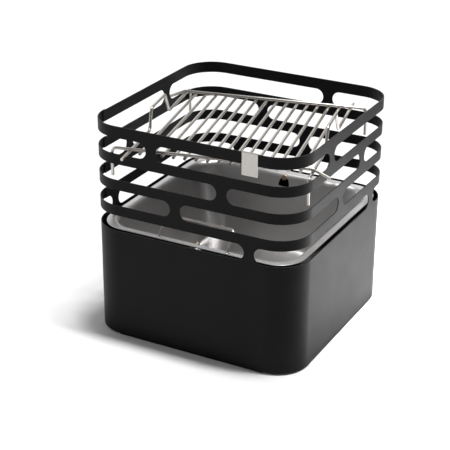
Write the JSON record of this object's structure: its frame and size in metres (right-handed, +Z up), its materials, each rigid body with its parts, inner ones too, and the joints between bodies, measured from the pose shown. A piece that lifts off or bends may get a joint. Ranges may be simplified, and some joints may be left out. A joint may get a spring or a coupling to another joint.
{
  "type": "fire pit with grate",
  "caption": "Square sheet-steel garden fire basket with slotted upper walls, a tilting steel fire bowl hung on two studs and a hooked wire cooking grate.",
  "frame": {"origin": "centre of the basket's footprint, on the ground", "axes": "+Z up; -Y is the front wall, which carries the tag; +X to the right when looking at the front"},
  "size_m": [0.4768, 0.489, 0.4342],
  "materials": {
    "black_coating": "satin black powder coat",
    "bowl_steel": "fine satin stainless sheet",
    "wire_steel": "bright drawn stainless wire",
    "stud_steel": "turned steel with heat tint",
    "tag_steel": "fine vertical satin"
  },
  "bodies": {
    "basket": {"basket_shell": "black_coating", "tag_plate": "tag_steel", "pivot_stud_front": "stud_steel", "pivot_stud_back": "stud_steel"},
    "bowl": {"fire_bowl": "bowl_steel", "bowl_bail": "wire_steel"},
    "grate": {"grate_front_rod": "wire_steel", "grate_right_rod": "wire_steel", "grate_back_rod": "wire_steel", "grate_left_rod": "wire_steel", "cross_rod_01": "wire_steel", "cross_rod_02": "wire_steel", "cross_rod_03": "wire_steel", "cross_rod_04": "wire_steel", "cross_rod_05": "wire_steel", "cross_rod_06": "wire_steel", "cross_rod_07": "wire_steel", "cross_rod_08": "wire_steel", "cross_rod_09": "wire_steel", "cross_rod_10": "wire_steel", "cross_rod_11": "wire_steel", "cross_rod_12": "wire_steel", "cross_rod_13": "wire_steel", "cross_rod_14": "wire_steel", "cross_rod_15": "wire_steel"}
  },
  "joints": [
    {"name": "bowl_swing", "type": "hinge", "parent": "basket", "child": "bowl", "pos_m": [0, 0, 0.2165], "axis": [0, 1, 0], "range_deg": [-45, 45]},
    {"name": "grate_lift", "type": "slide", "parent": "basket", "child": "grate", "axis": [0, 0, 1], "range_m": [0, 0.022]}
  ]
}
